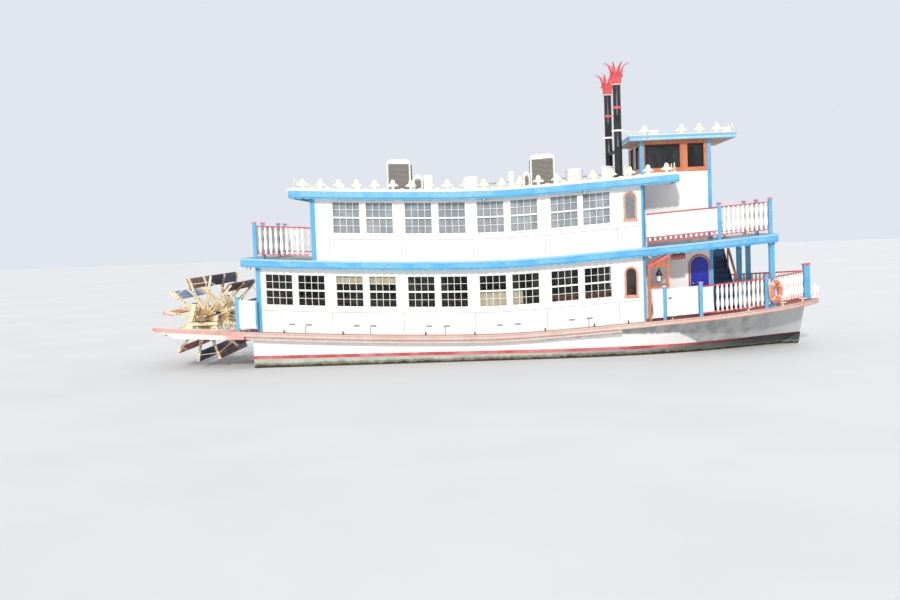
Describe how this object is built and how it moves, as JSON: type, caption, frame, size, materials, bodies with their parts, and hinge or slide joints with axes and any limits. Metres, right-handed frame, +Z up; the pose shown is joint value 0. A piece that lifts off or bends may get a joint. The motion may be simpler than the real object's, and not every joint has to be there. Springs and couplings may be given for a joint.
{
  "type": "sternwheel paddle boat",
  "caption": "Two-deck sternwheel excursion boat with glazed saloons, pilothouse tower, twin crowned chimneys, railed decks and a turning paddlewheel between stern arms.",
  "frame": {"origin": "on the centreline at the waterline, half way along the hull, which is where the water holds the boat", "axes": "+X towards the bow, +Y to port, +Z up"},
  "size_m": [23.55, 6.1, 11.17],
  "materials": {
    "hull_paint": "weathered white paint with a red stripe and a grey-green boot-top",
    "guard_paint": "faded salmon-red deck paint",
    "white_paint": "satin white paint on panels and turned balusters",
    "blue_paint": "satin sky-blue trim paint",
    "door_blue": "semi-gloss royal blue",
    "stair_blue": "worn dark blue deck paint",
    "varnished_wood": "varnished reddish wood",
    "wheel_timber": "weathered cream timber",
    "float_paint": "faded red, navy and blue boards",
    "stack_black": "satin black with red crowns",
    "machine_grey": "grey louvred sheet",
    "life_orange": "faded orange shell",
    "bronze": "dull bronze",
    "iron": "dark anti-fouled iron",
    "window_glass": "clear glass"
  },
  "bodies": {
    "boat": {"hull": "hull_paint", "engine": "iron", "main_deck": "guard_paint", "stern_arm_stbd": "guard_paint", "stern_arm_port": "guard_paint", "bearing_frame_stbd": "wheel_timber", "bearing_frame_port": "wheel_timber", "lower_wall_stbd": "white_paint", "lower_glass_stbd": "window_glass", "lower_wall_port": "white_paint", "lower_glass_port": "window_glass", "lower_wall_aft": "white_paint", "lower_wall_fore": "white_paint", "upper_wall_stbd": "white_paint", "upper_glass_stbd": "window_glass", "upper_wall_port": "white_paint", "upper_glass_port": "window_glass", "upper_wall_aft": "white_paint", "upper_wall_fore": "white_paint", "upper_deck": "blue_paint", "roof": "blue_paint", "deckhouse_wall_stbd": "white_paint", "deckhouse_wall_port": "white_paint", "deckhouse_wall_fore": "white_paint", "pilothouse_wall_stbd": "white_paint", "pilothouse_wall_port": "white_paint", "pilothouse_wall_aft": "white_paint", "pilothouse_wall_fore": "white_paint", "pilothouse_glass": "window_glass", "pilothouse_roof": "blue_paint", "helm_deck": "varnished_wood", "stairs": "stair_blue", "main_rail_stbd": "white_paint", "main_rail_port": "white_paint", "bow_post": "blue_paint", "aft_bulwark_stbd": "white_paint", "aft_bulwark_port": "white_paint", "entry_stbd": "varnished_wood", "entry_port": "varnished_wood", "upper_rail_aft": "white_paint", "upper_rail_fore": "white_paint", "fore_deck_posts": "blue_paint", "chimney_stbd": "stack_black", "chimney_port": "stack_black", "roof_units_aft": "machine_grey", "roof_units_fore": "machine_grey", "life_ring": "life_orange"},
    "paddlewheel": {"wheel_frames": "wheel_timber", "wheel_floats": "float_paint"},
    "propeller_stbd_body": {"propeller_stbd": "bronze"},
    "propeller_port_body": {"propeller_port": "bronze"},
    "rudder_stbd_body": {"rudder_stbd": "iron"},
    "rudder_port_body": {"rudder_port": "iron"},
    "gate_stbd_body": {"gate_stbd": "white_paint"},
    "gate_port_body": {"gate_port": "white_paint"},
    "lower_fore_door_body": {"lower_fore_door": "door_blue"},
    "upper_aft_door_body": {"upper_aft_door": "door_blue"},
    "upper_fore_door_body": {"upper_fore_door": "door_blue"},
    "deckhouse_door_stbd_body": {"deckhouse_door_stbd": "door_blue"},
    "deckhouse_door_port_body": {"deckhouse_door_port": "door_blue"}
  },
  "joints": [
    {"name": "paddlewheel_turn", "type": "hinge", "parent": "boat", "child": "paddlewheel", "pos_m": [-11.33, 0, 1.745], "axis": [0, 1, 0], "continuous": true},
    {"name": "propeller_stbd_turn", "type": "hinge", "parent": "boat", "child": "propeller_stbd_body", "pos_m": [-8.45, -1.2, -0.64], "axis": [0.9975, 0, 0.07], "continuous": true},
    {"name": "propeller_port_turn", "type": "hinge", "parent": "boat", "child": "propeller_port_body", "pos_m": [-8.45, 1.2, -0.64], "axis": [0.9975, 0, 0.07], "continuous": true},
    {"name": "rudder_stbd_turn", "type": "hinge", "parent": "boat", "child": "rudder_stbd_body", "pos_m": [-8.95, -1.2, -0.6], "axis": [0, 0, 1], "range_deg": [-35, 35]},
    {"name": "rudder_port_turn", "type": "hinge", "parent": "boat", "child": "rudder_port_body", "pos_m": [-8.95, 1.2, -0.6], "axis": [0, 0, 1], "range_deg": [-35, 35]},
    {"name": "gate_stbd_swing", "type": "hinge", "parent": "boat", "child": "gate_stbd_body", "pos_m": [5.8, -2.93, 1.8], "axis": [0, 0, 1], "range_deg": [-95, 0]},
    {"name": "gate_port_swing", "type": "hinge", "parent": "boat", "child": "gate_port_body", "pos_m": [5.8, 2.93, 1.8], "axis": [0, 0, 1], "range_deg": [0, 95]},
    {"name": "lower_fore_door_swing", "type": "hinge", "parent": "boat", "child": "lower_fore_door_body", "pos_m": [4.0525, -1.76, 2.2], "axis": [0, 0, 1], "range_deg": [0, 90]},
    {"name": "upper_aft_door_swing", "type": "hinge", "parent": "boat", "child": "upper_aft_door_body", "pos_m": [-7.3125, 0.38, 4.7], "axis": [0, 0, 1], "range_deg": [-100, 0]},
    {"name": "upper_fore_door_swing", "type": "hinge", "parent": "boat", "child": "upper_fore_door_body", "pos_m": [4.0425, -1.76, 4.7], "axis": [0, 0, 1], "range_deg": [0, 90]},
    {"name": "deckhouse_door_stbd_swing", "type": "hinge", "parent": "boat", "child": "deckhouse_door_stbd_body", "pos_m": [6.43, -1.595, 2.3], "axis": [0, 0, 1], "range_deg": [0, 100]},
    {"name": "deckhouse_door_port_swing", "type": "hinge", "parent": "boat", "child": "deckhouse_door_port_body", "pos_m": [6.43, 1.595, 2.3], "axis": [0, 0, 1], "range_deg": [-100, 0]}
  ],
  "couplings": [
    {"joint": "rudder_port_turn", "follows": "rudder_stbd_turn", "ratio": 1}
  ]
}
